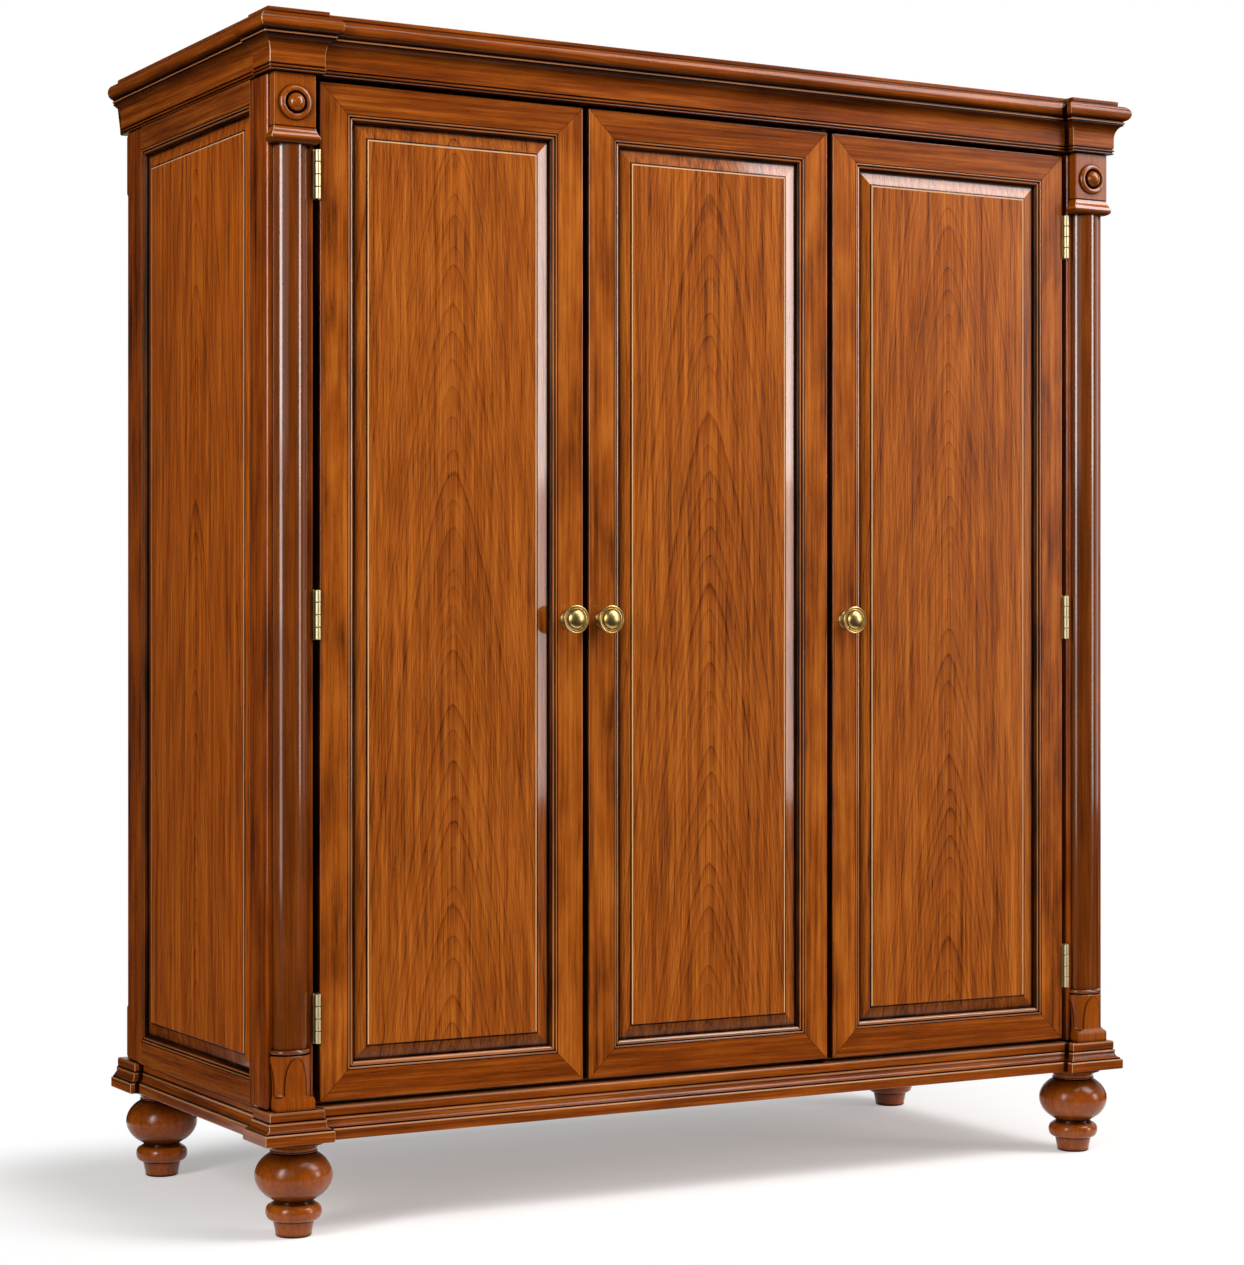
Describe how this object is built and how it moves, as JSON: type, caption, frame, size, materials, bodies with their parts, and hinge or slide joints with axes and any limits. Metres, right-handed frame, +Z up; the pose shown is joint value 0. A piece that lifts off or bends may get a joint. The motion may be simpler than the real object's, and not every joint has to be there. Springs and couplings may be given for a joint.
{
  "type": "three-door wardrobe",
  "caption": "Free-standing wardrobe with fielded panel doors on butt hinges and pivots, engaged corner columns, stepped cornice, turned feet, hanging rail and shelves.",
  "frame": {"origin": "centre of the overall footprint, on the floor", "axes": "+X to the right seen from the front, -Y out of the doors towards the room, +Z up"},
  "size_m": [1.69, 0.7114, 1.9],
  "materials": {
    "frame_wood": "gloss lacquer over red-brown stain",
    "panel_wood": "gloss lacquer over orange-brown figured veneer",
    "inside_wood": "satin lacquer",
    "brass": "polished",
    "steel": "polished plating"
  },
  "bodies": {
    "carcase": {"foot_front_left": "frame_wood", "foot_front_right": "frame_wood", "foot_rear_left": "frame_wood", "foot_rear_right": "frame_wood", "base_moulding": "frame_wood", "floor_board": "inside_wood", "post_front_left": "frame_wood", "post_front_right": "frame_wood", "post_rear_left": "frame_wood", "post_rear_right": "frame_wood", "side_rail_top_left": "frame_wood", "side_rail_bottom_left": "frame_wood", "side_rail_top_right": "frame_wood", "side_rail_bottom_right": "frame_wood", "side_panel_left": "panel_wood", "side_panel_right": "panel_wood", "back_panel": "inside_wood", "cornice": "frame_wood", "top_board": "frame_wood", "column_left": "frame_wood", "column_right": "frame_wood", "capital_left": "frame_wood", "capital_right": "frame_wood", "partition": "inside_wood", "hat_shelf": "inside_wood", "shelf_lower": "inside_wood", "shelf_upper": "inside_wood", "hanging_rail": "steel", "left_hinge_top_post_leaf": "brass", "left_hinge_middle_post_leaf": "brass", "left_hinge_bottom_post_leaf": "brass", "right_hinge_top_post_leaf": "brass", "right_hinge_middle_post_leaf": "brass", "right_hinge_bottom_post_leaf": "brass"},
    "left_door": {"left_door_stile_left": "frame_wood", "left_door_stile_right": "frame_wood", "left_door_rail_top": "frame_wood", "left_door_rail_bottom": "frame_wood", "left_door_panel": "panel_wood", "left_door_knob": "brass", "left_hinge_top_door_leaf": "brass", "left_hinge_middle_door_leaf": "brass", "left_hinge_bottom_door_leaf": "brass"},
    "middle_door": {"middle_door_stile_left": "frame_wood", "middle_door_stile_right": "frame_wood", "middle_door_rail_top": "frame_wood", "middle_door_rail_bottom": "frame_wood", "middle_door_panel": "panel_wood", "middle_door_knob": "brass", "middle_door_pivot_top": "brass", "middle_door_pivot_bottom": "brass"},
    "right_door": {"right_door_stile_left": "frame_wood", "right_door_stile_right": "frame_wood", "right_door_rail_top": "frame_wood", "right_door_rail_bottom": "frame_wood", "right_door_panel": "panel_wood", "right_door_knob": "brass", "right_hinge_top_door_leaf": "brass", "right_hinge_middle_door_leaf": "brass", "right_hinge_bottom_door_leaf": "brass"}
  },
  "joints": [
    {"name": "left_door_hinge", "type": "hinge", "parent": "carcase", "child": "left_door", "pos_m": [-0.73175, -0.30825, 1.0025], "axis": [0, 0, -1], "range_deg": [0, 105]},
    {"name": "middle_door_pivot", "type": "hinge", "parent": "carcase", "child": "middle_door", "pos_m": [0.2105, -0.29525, 1.0025], "axis": [0, 0, 1], "range_deg": [0, 90]},
    {"name": "right_door_hinge", "type": "hinge", "parent": "carcase", "child": "right_door", "pos_m": [0.73175, -0.30825, 1.0025], "axis": [0, 0, 1], "range_deg": [0, 105]}
  ]
}
